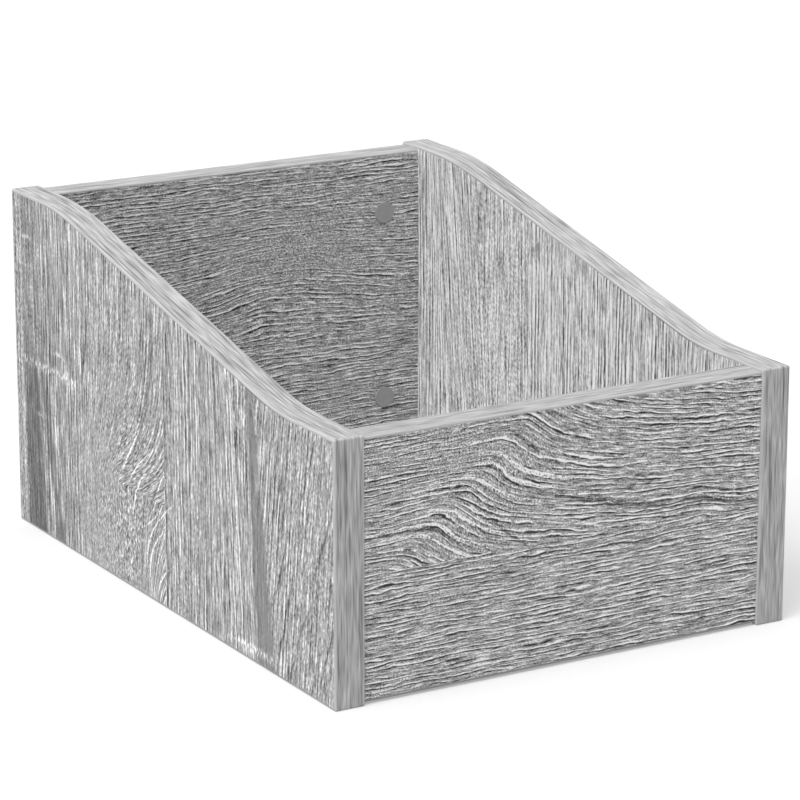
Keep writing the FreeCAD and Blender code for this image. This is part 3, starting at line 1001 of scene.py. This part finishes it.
def loft(name: str, face: np.ndarray, back: np.ndarray, places: np.ndarray) -> bpy.types.Object:
    """Makes a closed mesh from a shaped face and the flat back behind it.

    Each section runs across the face and returns along the back. Four-sided faces join each section to the
    next, and a row of them closes each end.

    Args:
        name: The new object's name.
        face: The face's points, as sections by points across by three coordinates, in metres.
        back: The back's points, one behind each of the face's.
        places: The strip map's value at each of the face's points, in metres.

    Returns:
        The new object, at the origin.
    """
    rings = np.concatenate([face, back[:, ::-1]], axis=1)
    ring_places = np.concatenate([places, places[:, ::-1]], axis=1)
    forward, sideways = face[1, 0] - face[0, 0], face[0, -1] - face[0, 0]
    if np.dot(np.cross(sideways, forward), face[0, 0] - back[0, 0]) < 0.0:
        rings, ring_places = rings[:, ::-1], ring_places[:, ::-1]
    count, around = rings.shape[:2]
    index = np.arange(count * around).reshape(count, around)
    turned = np.roll(index, -1, axis=1)
    skin = np.stack([index[:-1], turned[:-1], turned[1:], index[1:]], axis=-1).reshape(-1, 4)
    step = np.arange(around // 2 - 1)
    end = np.stack([step, step + 1, around - 2 - step, around - 1 - step], axis=-1)
    faces = np.concatenate([skin, index[0][end[:, ::-1]], index[-1][end]])
    mesh = bpy.data.meshes.new(name)
    mesh.from_pydata(rings.reshape(-1, 3).tolist(), [], faces.tolist())
    corners = np.zeros(len(mesh.loops), dtype=np.int32)
    mesh.loops.foreach_get("vertex_index", corners)
    layer = mesh.uv_layers.new(name=STRIP_MAP)
    layer.uv.foreach_set("vector", ring_places.reshape(-1, 2)[corners].astype(np.float32).ravel())
    mesh.polygons.foreach_set("use_smooth", np.ones(len(mesh.polygons), dtype=bool))
    mesh.set_sharp_from_angle(angle=SHARP_ANGLE)
    piece = bpy.data.objects.new(name, mesh)
    bpy.context.scene.collection.objects.link(piece)
    return piece


class Facing(Enum):
    """The way a band's wide face looks, as a unit vector."""

    FRONT = (0.0, -1.0, 0.0)
    BACK = (0.0, 1.0, 0.0)
    UP = (0.0, 0.0, 1.0)
    DOWN = (0.0, 0.0, -1.0)


class Ends(Enum):
    """How a band's two short ends are finished."""

    SQUARE = "square"
    ROUNDED = "rounded"


SIDE_EDGES = {
    "front": (Facing.FRONT, Ends.ROUNDED),
    "back": (Facing.BACK, Ends.ROUNDED),
    "bottom": (Facing.DOWN, Ends.SQUARE),
}
PANEL_EDGES = {"top": (Facing.UP, Ends.SQUARE), "bottom": (Facing.DOWN, Ends.SQUARE)}


@dataclass(frozen=True)
class SweptEdge:
    """A side's swept top edge, front to back: level, hollow arc, slope, crown arc, level. In metres."""

    front_flat: float = 0.060
    hollow_radius: float = 0.250
    crown_radius: float = 0.340
    back_flat: float = 0.045
    steps: int = 160

    def slope(self, length: float, rise: float) -> float:
        """Finds the slope, which is the tangent common to both arcs.

        Args:
            length: The edge's length in plan.
            rise: How much higher it is at the back.

        Returns:
            The slope's angle.
        """
        run = length - self.front_flat - self.back_flat
        reach = self.hollow_radius + self.crown_radius
        return math.atan2(run, reach - rise) - math.acos(reach / math.hypot(run, reach - rise))

    def line(self, low: np.ndarray, high: np.ndarray, ends: np.ndarray) -> tuple[np.ndarray, np.ndarray]:
        """The edge's points and outward normals.

        Height over the distance v from the front is level, then hollow_radius minus the square root of its
        square less the distance into the arc squared, then a straight slope, then the same arc turned over
        for the crown.

        Args:
            low: The band's lowest corner.
            high: The band's highest corner.
            ends: The edge's height at the front and at the back.

        Returns:
            Points and unit normals, one row each.
        """
        length = high[1] - low[1]
        angle = self.slope(length, ends[1] - ends[0])
        crown_end = length - self.back_flat
        hollow_end = self.front_flat + self.hollow_radius * math.sin(angle)
        crown_start = crown_end - self.crown_radius * math.sin(angle)
        even = np.linspace(0.0, length, self.steps)
        v = np.unique(np.concatenate([even, [self.front_flat, crown_end]]))
        into_hollow = np.clip(v - self.front_flat, 0.0, hollow_end - self.front_flat)
        into_slope = np.clip(v - hollow_end, 0.0, crown_start - hollow_end)
        to_level = np.clip(crown_end - v, 0.0, crown_end - crown_start)
        hollow = self.hollow_radius - np.sqrt(self.hollow_radius**2 - into_hollow**2)
        crown = np.sqrt(self.crown_radius**2 - to_level**2) - self.crown_radius * math.cos(angle)
        height = hollow + into_slope * math.tan(angle) + crown
        hollow_tilt = np.arcsin(into_hollow / self.hollow_radius)
        tilt = np.minimum(hollow_tilt, np.arcsin(to_level / self.crown_radius))
        middle = np.full_like(v, (low[0] + high[0]) / 2)
        points = np.stack([middle, low[1] + v, ends[0] + height], axis=1)
        normals = np.stack([np.zeros_like(v), -np.sin(tilt), np.cos(tilt)], axis=1)
        return points, normals


@dataclass
class EdgeBands:
    """The edge bands of the sides and of the front and back panels, with rounded arrises. In metres."""

    thickness: float = 0.002
    radius: float = 0.0015
    support: float = 0.0004
    arc_steps: int = 6
    end_clear: float = 0.01
    run_steps: int = 24
    seed_step: float = 23.7
    # painted light on the band arrises: a painted highlight on most bands, painted shade on the bottom ones
    arris_painted_light: float = 0.032
    under_painted_shade: float = -0.08
    panel_tone: float = 0.653
    side_tone: float = 0.673
    swept: SweptEdge = SweptEdge()
    slot: str = "grey_oak_band"
    sides: tuple[str, ...] = ("left_side", "right_side")
    panels: tuple[str, ...] = ("front_panel", "back_panel")

    def build(self) -> list[bpy.types.Object]:
        """Builds every band in place of its node, the straight ones first.

        Returns:
            The new pieces.
        """
        boards = [(side, SIDE_EDGES) for side in self.sides]
        boards += [(panel, PANEL_EDGES) for panel in self.panels]
        pieces = [
            self.straight(f"{board}_{edge}_band", *form)
            for board, edges in boards
            for edge, form in edges.items()
        ]
        pieces += [self.curved(f"{side}_top_band") for side in self.sides]
        for number, piece in enumerate(pieces, start=1):
            # bottom bands get painted shade on their arrises, the others a painted highlight
            lift = self.under_painted_shade if "bottom" in piece.name else self.arris_painted_light
            tone = self.panel_tone if "panel" in piece.name else self.side_tone
            finish = BandFinish(seed=number * self.seed_step, tone=tone, arris_painted_light=lift)
            piece.data.materials.append(finish.dress(f"{piece.name}_finish"))
        return pieces

    def straight(self, node: str, facing: Facing, ends: Ends) -> bpy.types.Object:
        """Builds one straight band from its node's box, whose longest side is the run.

        Args:
            node: The node that it replaces.
            facing: The way its wide face looks.
            ends: How its short ends are finished.

        Returns:
            The new piece.
        """
        low, high = (np.array(corner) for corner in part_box(node))
        size = high - low
        long_axis = int(np.argmax(size))
        out = np.array(facing.value)
        thin_axis = int(np.argmax(np.abs(out)))
        wide_axis = 3 - long_axis - thin_axis
        length = size[long_axis]
        near = self.arris_steps() if ends is Ends.ROUNDED else np.zeros(1)
        body = np.linspace(self.end_clear, length - self.end_clear, self.run_steps)
        run = np.concatenate([near, body, (length - near)[::-1]])
        points = np.tile((low + high) / 2 + out * size[thin_axis] / 2, (len(run), 1))
        points[:, long_axis] = low[long_axis] + run
        normals = np.tile(out, (len(run), 1))
        side = np.eye(3)[wide_axis]
        return self.fit(self.strip(f"{node}_strip", points, normals, side, size[wide_axis], ends), node)

    def curved(self, node: str) -> bpy.types.Object:
        """Builds the band on one side's swept edge.

        Args:
            node: The node that it replaces.

        Returns:
            The new piece.
        """
        low, high = (np.array(corner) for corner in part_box(node))
        heights = np.array([low[2] + self.thickness, high[2]])
        points, normals = self.swept.line(low, high, heights)
        side, width = np.eye(3)[0], high[0] - low[0]
        return self.fit(self.strip(f"{node}_strip", points, normals, side, width, Ends.SQUARE), node)

    def strip(
        self, name: str, points: np.ndarray, normals: np.ndarray, side: np.ndarray, width: float, ends: Ends
    ) -> bpy.types.Object:
        """Carries the rounded section along a line.

        A point's inset from the nearest long edge and, where the ends are rounded, from the nearest end gives
        an offset over the arris. The offset is pulled in on the corner so that its length is its longer side,
        and the face drops by the radius less the square root of the radius squared less the offset squared.

        Args:
            name: The new piece's name.
            points: The middle line of the wide face.
            normals: The outward normal at each point of it.
            side: The unit vector across the band.
            width: The band's width.
            ends: How the short ends are finished.

        Returns:
            The new piece.
        """
        steps = np.linalg.norm(np.diff(points, axis=0), axis=1)
        run = np.concatenate([[0.0], np.cumsum(steps)])
        half = np.append(self.arris_steps(), width / 4)
        q = np.concatenate([half, [width / 2], width - half[::-1]])
        over_end = np.zeros_like(run)
        if ends is Ends.ROUNDED:
            over_end = self.over_arris(run, run[-1])
        a, b = np.meshgrid(over_end, self.over_arris(q, width), indexing="ij")
        longer = np.maximum(np.abs(a), np.abs(b))
        pull = np.divide(longer, np.hypot(a, b), out=np.ones_like(a), where=longer > 0.0)
        drop = self.radius - np.sqrt(np.maximum(self.radius**2 - longer**2, 0.0))
        forward = np.gradient(points, axis=0)
        forward /= np.linalg.norm(forward, axis=1, keepdims=True)
        inset = (1.0 - pull) * -a
        outset = (q - width / 2)[None, :] - b * (1.0 - pull)
        face = (
            points[:, None, :]
            + side * outset[..., None]
            + forward[:, None, :] * inset[..., None]
            - normals[:, None, :] * drop[..., None]
        )
        back = face + normals[:, None, :] * (drop[..., None] - self.thickness)
        places = np.broadcast_arrays(run[:, None], self.developed(q, width)[None, :])
        return loft(name, face, back, np.stack(places, axis=-1))

    def arris_steps(self) -> np.ndarray:
        """Places from an edge inward: radius less radius times cosine of even turns, and one past them."""
        turn = np.linspace(0.0, math.pi / 2, self.arc_steps + 1)
        return np.append(self.radius * (1.0 - np.cos(turn)), self.radius + self.support)

    def over_arris(self, place: np.ndarray, length: float) -> np.ndarray:
        """How far places along a length lie over the rounding at its ends, signed, and 0 between."""
        inset = np.minimum(np.minimum(place, length - place) - self.radius, 0.0)
        return inset * np.sign(length / 2 - place)

    def developed(self, q: np.ndarray, width: float) -> np.ndarray:
        """Measures over the surface from the middle of the wide face: on an arris, radius times turn.

        Args:
            q: Places across the band.
            width: The band's width.

        Returns:
            The distances, signed.
        """
        inset = np.minimum(q, width - q)
        turn = np.arcsin(np.clip(1.0 - inset / self.radius, 0.0, 1.0))
        flat = np.minimum(np.abs(q - width / 2), width / 2 - self.radius)
        return np.sign(q - width / 2) * (flat + self.radius * turn)

    def fit(self, piece: bpy.types.Object, node: str) -> bpy.types.Object:
        """Puts a band on the body in place of its node.

        Args:
            piece: The band.
            node: The node.

        Returns:
            The band.
        """
        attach(piece, BODY)
        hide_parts(node)
        return piece


# boards and fittings


def dress_node(node: str, finish: bpy.types.Material) -> bpy.types.Object:
    """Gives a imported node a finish, in every slot that it has.

    Args:
        node: The node's name.
        finish: The material.

    Returns:
        The node's object.
    """
    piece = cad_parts[node]
    for slot in piece.material_slots:
        slot.material = finish
    return piece


@dataclass
class Boards:
    """The five boards, each with its own length of the grey oak print."""

    left: OakDecor = OakDecor(
        grain=Grain.UPRIGHT,
        seed=3.0,
        # across, along, reach across, reach along, share
        specks=table(
            Speckle,
            (258.0, 140.0, 12.0, 900.0, 0.4),
            (88.0, 38.0, 52.0, 66.0),
            (75.0, 170.0, 66.0, 110.0, 0.35),
            (18.0, 95.0, 30.0, 60.0, 0.5),
            (-225.0, 100.0, 48.0, 900.0, 0.35),
        ),
        seams=(-0.8, 151.7, 249.6),
        figures=(
            Sweep(
                plank_from=-0.8, plank_to=151.7, crowd_from=70.0, reach=90.0,
                base=82.0, run=42.0, tail=0.7, tail_reach=55.0,
            ),
            Lean(low=-164.0, high=-90.0, slope=0.06, soft=34.0),
            Lean(low=-360.0, high=-164.0, slope=-0.13),
        ),
        # middle low and high, half width low and high, depth, calm, fade from, height of the high values
        stains=table(
            Stain,
            (231.0, 241.0, 19.0, 9.0, 0.22, 0.35, 145.0),
            (187.0, 226.0, 7.0, 6.0, 0.14, 0.3, 150.0),
            (196.0, 202.0, 52.0, 50.0, 0.03, 0.1, 400.0),
            (-164.0, -141.0, 15.0, 5.0, 0.125, 0.65, 400.0, 205.0),
        ),
        # level, start, end, tone, half width, lean, bow
        strokes=table(
            Stroke,
            (-106.6, 10.0, 220.0, 0.24, 0.9),
            (-118.0, 20.0, 200.0, 0.26, 0.9),
            (-91.0, 60.0, 200.0, -0.18, 1.0),
            (-70.0, 110.0, 210.0, -0.24, 0.9),
            (-57.0, -20.0, 110.0, -0.22, 0.9),
            (-44.0, 20.0, 190.0, -0.18, 0.9),
            (-26.0, 40.0, 240.0, -0.18, 0.8),
            (12.0, 130.0, 260.0, -0.17, 2.4),
        )
        + table(
            Stroke,
            (147.5, 125.0, 205.0, -0.24, 1.7, -0.24),
            (167.0, 150.0, 320.0, -0.24, 0.8),
            (163.9, 200.0, 300.0, 0.20, 0.9),
            (204.3, 160.0, 300.0, 0.20, 0.9),
            (200.3, 180.0, 300.0, -0.18, 0.9),
            (173.0, 0.0, 140.0, 0.22, 1.6, 0.2),
            (-179.0, 122.0, 160.0, -0.28, 1.3, -0.35),
            (-178.0, 58.0, 115.0, -0.28, 1.3, -0.40),
            (-236.0, 90.0, 144.0, -0.26, 1.4, -0.50),
            (-191.0, 42.0, 78.0, -0.28, 1.2, -0.36),
            (-254.0, 66.0, 102.0, -0.26, 1.3, -0.33),
            (-178.0, 0.0, 52.0, -0.28, 1.2, -0.36),
            (-195.0, -4.0, 26.0, -0.28, 1.2, -0.46),
            (-206.0, 26.0, 63.0, -0.20, 1.0, -0.54),
            (-245.0, 16.0, 74.0, -0.24, 1.2, -0.43),
            (-218.0, 140.0, 200.0, -0.24, 1.2, -0.40),
            (70.0, 95.0, 128.0, 0.80, 1.4, -0.77),
            (58.0, 86.0, 115.0, 0.76, 0.9, -0.97, 3.0),
            (53.0, 63.0, 102.0, 0.72, 0.9, -0.55, 3.0),
            (16.0, 86.0, 112.0, 0.76, 0.9, -0.65),
            (33.0, 58.0, 88.0, 0.76, 0.9, -1.10, -4.0),
            (31.0, 30.0, 80.0, 0.72, 0.9, -0.70, 9.0),
            (26.6, 18.0, 64.0, 0.68, 0.9, -0.61, 9.0),
            (13.0, 8.0, 34.0, 0.61, 0.9, -0.80, 4.0),
            (26.0, 72.0, 98.0, -0.22, 2.6, -0.60),
            free=True,
        ),
        # along, across from and to, strength, half width
        saw_marks=table(
            SawMark,
            (143.0, 148.0, 256.0, 0.36, 3.6),
            (160.0, 170.0, 204.0, 0.30, 2.0),
            (9.5, -180.0, -100.0, 0.40, 3.2),
            (248.0, 226.0, 256.0, 0.30, 2.0),
            (224.0, 210.0, 258.0, 0.18, 1.6),
            (101.0, 200.0, 236.0, 0.24, 2.2),
        ),
    )
    right: OakDecor = OakDecor(
        grain=Grain.UPRIGHT,
        seed=17.0,
        tone=0.66,
        # painted light: the inner face is painted lighter, for the shaded inside of the box
        inner_painted_light=0.13,
        inner_to=185.0,
        pore_and_painted_highlight_strength=0.26,
        specks=table(Speckle, (130.0, 120.0, 50.0, 140.0, 0.5)),
        seams=(64.0,),
        figures=(Lean(low=90.0, high=200.0, slope=0.10, soft=34.0),),
    )
    front: OakDecor = LevelOak(
        seed=29.0,
        specks=table(
            Speckle,
            (181.0, -93.0, 24.0, 36.0, 0.7),
            (118.0, -74.0, 24.0, 34.0, 0.6),
            (158.0, -40.0, 24.0, 30.0, 0.6),
        ),
        seams=(98.0,),
        figures=(
            Fall(
                across=106.0, along=-137.0, lean=1.17, drop=22.0, drop_run=36.0, tail=40.0, tail_run=200.0,
                rise=10.0, rise_run=60.0, soft=19.0, plank_from=98.0, apart=300.0,
            ),
            Swell(across=110.0, along=120.0, reach_across=18.0, reach_along=22.0, height=3.5),
        ),
        # level, start, end, tone, half width, lean
        strokes=table(
            Stroke,
            (366.2, -184.0, -80.0, 1.20, 0.46),
            (373.4, -164.0, -74.0, 1.20, 0.46),
            (382.0, -116.0, -60.0, 1.15, 0.46),
            (403.0, -92.0, -30.0, 1.20, 0.48),
            (412.5, -74.0, -16.0, 1.20, 0.48),
            (419.0, -62.0, -2.0, 0.90, 0.66),
            (357.0, -184.0, -106.0, 0.50, 0.50),
            (370.0, -184.0, -90.0, -0.34, 0.90),
            (409.7, -34.0, 92.0, -0.30, 1.6, -0.113),
            (398.5, 84.0, 180.0, -0.36, 1.5, -0.07),
            (407.8, 94.0, 164.0, -0.26, 0.9, -0.12),
            (401.6, 90.0, 180.0, 0.36, 0.6, -0.07),
            (391.4, -72.0, -28.0, -0.28, 1.3, -0.46),
        ),
        saw_marks=table(SawMark, (150.0, 98.0, 128.0, 0.26, 1.2), (45.6, 94.0, 124.0, 0.22, 1.2)),
    )
    back: OakDecor = LevelOak(
        seed=41.0,
        pore_and_painted_highlight_strength=0.50,
        specks=table(Speckle, (205.0, 70.0, 34.0, 70.0, 0.7)),
        seams=(120.0,),
        figures=(
            Swell(across=178.0, along=40.0, reach_across=44.0, reach_along=80.0, height=16.0),
            Swell(across=60.0, along=-90.0, reach_across=30.0, reach_along=90.0, height=-7.0),
        ),
    )
    bottom: OakDecor = OakDecor(
        grain=Grain.DEEP,
        seed=53.0,
        fibre_strength=1.0,
        streak_strength=0.36,
        pore_and_painted_highlight_strength=0.12,
        seams=(-60.0, 55.0),
    )

    def dress(self) -> list[bpy.types.Object]:
        """Gives each board its finish.

        Returns:
            The boards.
        """
        finishes = {
            "left_side_panel": self.left,
            "right_side_panel": self.right,
            "front_panel": self.front,
            "back_panel": self.back,
            "bottom_panel": self.bottom,
        }
        return [dress_node(node, finish.dress(f"{node}_finish")) for node, finish in finishes.items()]


@dataclass
class Fittings:
    """The cam bolts, cam discs, cover caps and dowels that hold the boards together."""

    zinc: ZincFinish = ZincFinish()
    cap: CapFinish = CapFinish()
    beech: BeechFinish = BeechFinish()
    end_beech: BeechFinish = BeechFinish(grain=Grain.DEEP)
    capped: tuple[str, ...] = ("front_panel", "back_panel")
    joined: tuple[str, ...] = ("front_panel", "back_panel", "bottom_panel")

    def dress(self) -> list[bpy.types.Object]:
        """Gives each fitting its finish.

        Returns:
            The fittings.
        """
        zinc = self.zinc.dress("connector_zinc_finish")
        cap = self.cap.dress("cover_cap_finish")
        beech = self.beech.dress("dowel_finish")
        finishes = {f"{panel}_cam_bolts": zinc for panel in self.joined}
        finishes |= {f"{panel}_cam_discs": zinc for panel in self.joined}
        finishes |= {f"{panel}_cam_caps": cap for panel in self.capped}
        finishes |= {f"{panel}_dowels": beech for panel in self.joined}
        finishes["bottom_panel_end_dowels"] = self.end_beech.dress("end_dowel_finish")
        return [dress_node(node, finish) for node, finish in finishes.items()]


# studio


@dataclass
class Studio:
    """The pale floor, the soft light and the camera. Lengths are in metres and angles in degrees."""

    camera_place: tuple[float, float, float] = (-1.4200, -2.4365, 0.9346)
    camera_turn: float = 30.466
    camera_dip: float = 15.748
    camera_clip: tuple[float, float] = (0.01, 100.0)
    focal_pixels: float = 3700.0
    picture_pixels: float = 800.0
    sensor: float = 36.0
    floor_reach: float = 12.0
    floor_tone: float = 0.55
    floor_lift: float = 0.34
    sky_level: float = 0.40
    key_from: tuple[float, float, float] = (-0.62, -0.20, 0.76)
    key_level: float = 0.67
    key_spread: float = 40.0
    top_from: tuple[float, float, float] = (-0.10, -0.05, 0.99)
    top_level: float = 0.43
    top_spread: float = 70.0

    def build(self) -> list[bpy.types.Object]:
        """Builds the studio.

        Returns:
            Its objects.
        """
        bpy.context.scene.view_settings.view_transform = "Standard"
        self.sky()
        return [
            self.floor(),
            self.lamp("key_light", self.key_from, self.key_level, self.key_spread),
            self.lamp("top_light", self.top_from, self.top_level, self.top_spread),
            self.camera(),
        ]

    def sky(self) -> None:
        """An even sky that lights at a plain level and is white to the eye and in reflections."""
        world = bpy.data.worlds.new("studio_sky")
        world.use_nodes = True
        sheet = NodeSheet(world.node_tree)
        light = sheet.add("ShaderNodeBackground", {}, {"Color": WHITE, "Strength": self.sky_level})
        shown = sheet.add("ShaderNodeBackground", {}, {"Color": WHITE, "Strength": 1.0})
        sheet.add("ShaderNodeOutputWorld", {}, {"Surface": self.shown_mix(sheet, light, shown)})
        bpy.context.scene.world = world

    def shown_mix(
        self, sheet: NodeSheet, hidden: bpy.types.Node, shown: bpy.types.Node
    ) -> bpy.types.NodeSocket:
        """Mixes two shaders by what the ray is for.

        Args:
            sheet: The node sheet that they are on.
            hidden: The shader for rays that only carry light.
            shown: The shader to the eye, in a reflection or through glass.

        Returns:
            The mixed shader.
        """
        path = sheet.add("ShaderNodeLightPath", {}, {})
        names = ("Is Camera Ray", "Is Glossy Ray", "Is Transmission Ray")
        camera, glossy, through = (Signal(sheet, path.outputs[name]) for name in names)
        share = camera.at_least(glossy).at_least(through)
        sockets = {0: share, 1: hidden.outputs[0], 2: shown.outputs[0]}
        return sheet.add("ShaderNodeMixShader", {}, sockets).outputs[0]

    def floor(self) -> bpy.types.Object:
        """Lays a wide pale floor that keeps the box's shadow: a flat grid of four corners.

        Returns:
            The floor.
        """
        corners = np.array([[-1, -1, 0], [1, -1, 0], [1, 1, 0], [-1, 1, 0]]) * self.floor_reach
        mesh = bpy.data.meshes.new("studio_floor")
        mesh.from_pydata(corners.tolist(), [], [[0, 1, 2, 3]])
        sheet = FinishSheet("studio_floor_finish")
        tone = (self.floor_tone, self.floor_tone, self.floor_tone, 1.0)
        matt = sheet.add("ShaderNodeBsdfDiffuse", {}, {"Color": tone})
        glow = sheet.add("ShaderNodeEmission", {}, {"Color": WHITE, "Strength": self.floor_lift})
        lit = sheet.add("ShaderNodeAddShader", {}, {0: matt.outputs[0], 1: glow.outputs[0]})
        sheet.add("ShaderNodeOutputMaterial", {}, {"Surface": self.shown_mix(sheet, matt, lit)})
        mesh.materials.append(sheet.material)
        floor = bpy.data.objects.new("studio_floor", mesh)
        bpy.context.scene.collection.objects.link(floor)
        return floor

    def lamp(
        self, name: str, source: tuple[float, float, float], level: float, spread: float
    ) -> bpy.types.Object:
        """Sets a broad distant light.

        Args:
            name: The lamp's name.
            source: The way from the box to the light.
            level: How bright a white surface that faces it becomes.
            spread: How wide the light looks, in degrees.

        Returns:
            The lamp.
        """
        light = bpy.data.lights.new(name, "SUN")
        light.energy = level * math.pi
        light.angle = math.radians(spread)
        lamp = bpy.data.objects.new(name, light)
        x, y, z = source
        lamp.rotation_euler = (math.atan2(math.hypot(x, y), z), 0.0, math.atan2(x, -y))
        bpy.context.scene.collection.objects.link(lamp)
        return lamp

    def camera(self) -> bpy.types.Object:
        """Sets the camera at the photograph's viewing angle.

        Returns:
            The camera.
        """
        lens = bpy.data.cameras.new("studio_camera")
        lens.sensor_width = self.sensor
        lens.lens = self.focal_pixels * self.sensor / self.picture_pixels
        lens.clip_start, lens.clip_end = self.camera_clip
        camera = bpy.data.objects.new("studio_camera", lens)
        camera.location = self.camera_place
        tilt, turn = math.radians(90.0 - self.camera_dip), -math.radians(self.camera_turn)
        camera.rotation_euler = (tilt, 0.0, turn)
        bpy.context.scene.collection.objects.link(camera)
        bpy.context.scene.camera = camera
        return camera


def main() -> None:
    """Builds the studio, dresses the box and reports each piece."""
    logging.basicConfig(level=logging.INFO, format="%(message)s")
    pieces = [*Studio().build(), *Boards().dress(), *EdgeBands().build(), *Fittings().dress()]
    for piece in pieces:
        LOG.info("%s ready", piece.name)


if __name__ == "__main__":
    main()
